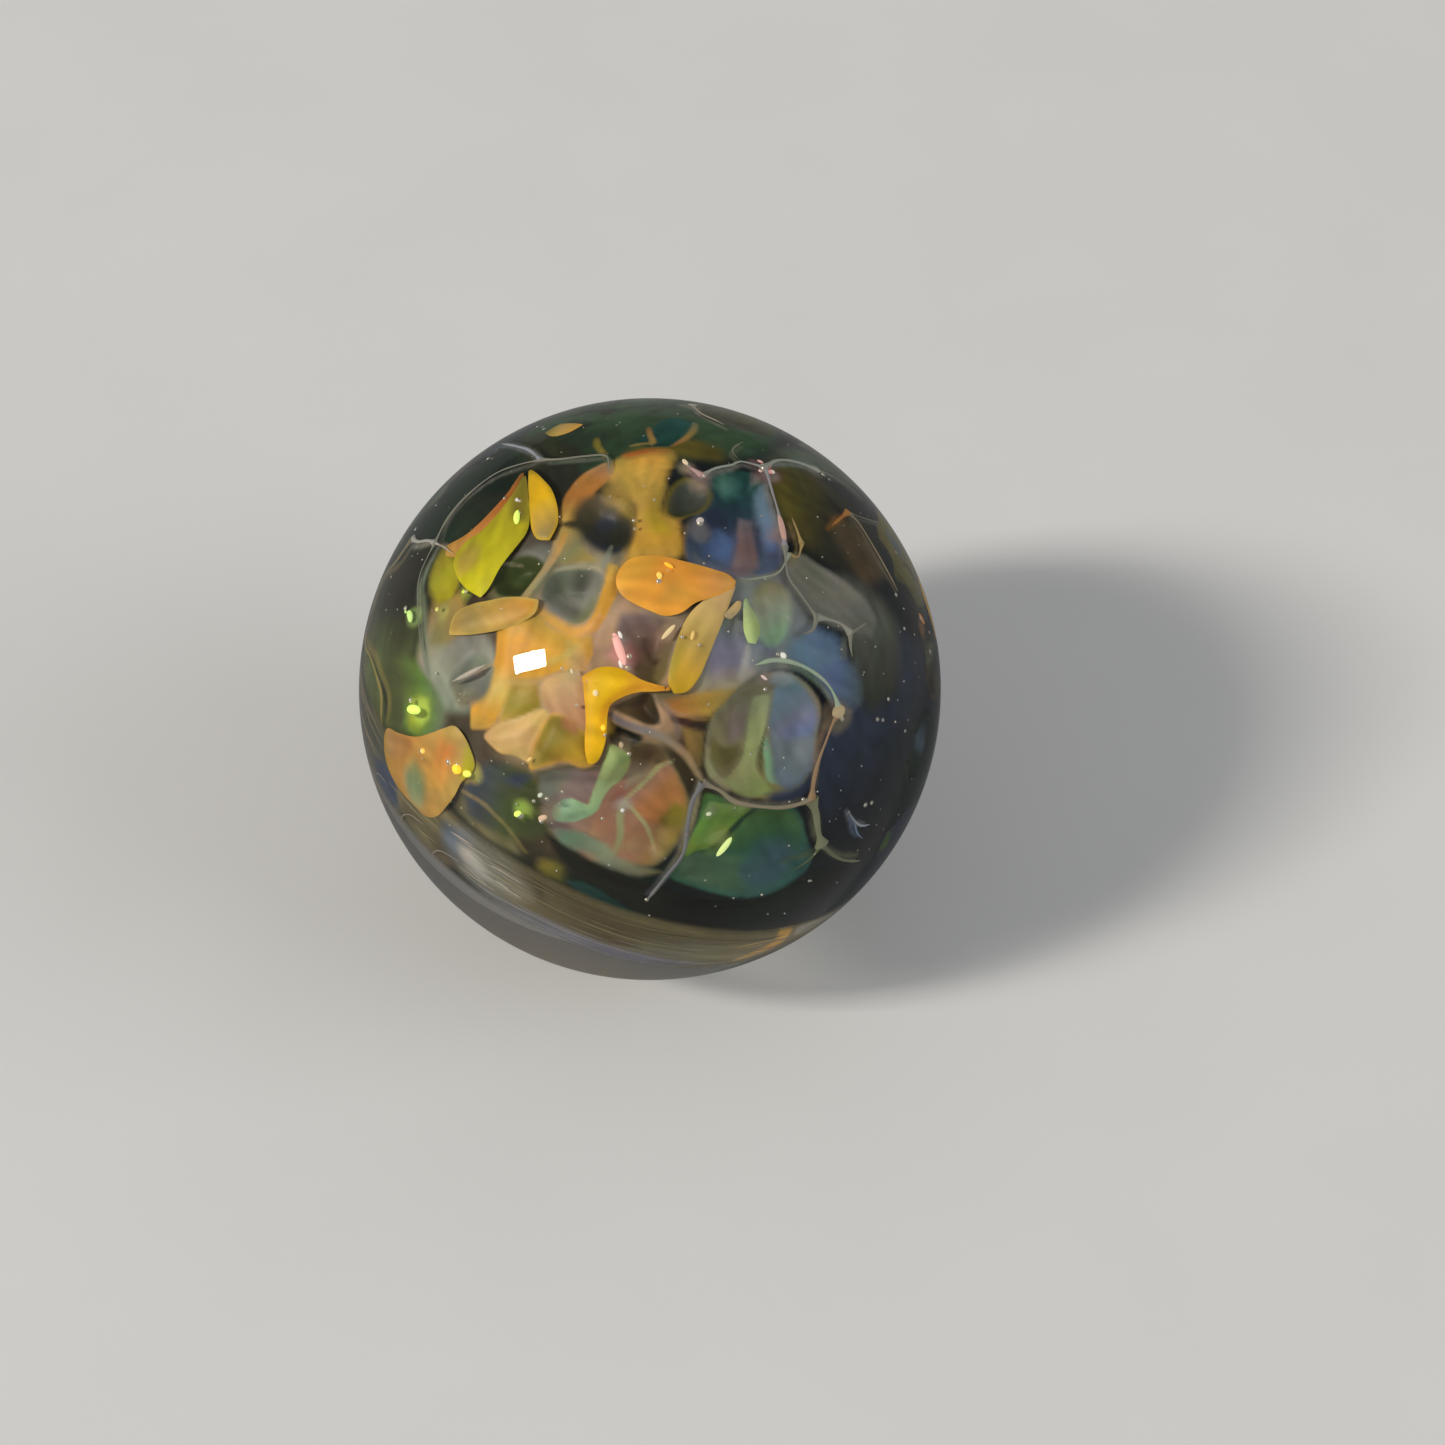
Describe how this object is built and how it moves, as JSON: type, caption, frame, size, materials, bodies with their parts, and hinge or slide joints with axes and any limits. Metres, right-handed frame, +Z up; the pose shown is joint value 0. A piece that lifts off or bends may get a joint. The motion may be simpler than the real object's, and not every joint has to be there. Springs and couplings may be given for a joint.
{
  "type": "glass marble",
  "caption": "Solid ball of clear glass with coloured glass melted inside, for play, display or as a desk ornament.",
  "frame": {"origin": "centre of the ball", "axes": "+Z up as the ball lies on a table, -Y towards the side seen first, +X to the right of it"},
  "size_m": [0.038, 0.038, 0.038],
  "materials": {
    "coloured_glass": "fire polished, amber, orange, green and blue glass with pale threads and air bubbles",
    "clear_glass": "fire polished, clear and faintly grey"
  },
  "bodies": {
    "root": {"marble": "coloured_glass"}
  },
  "joints": []
}
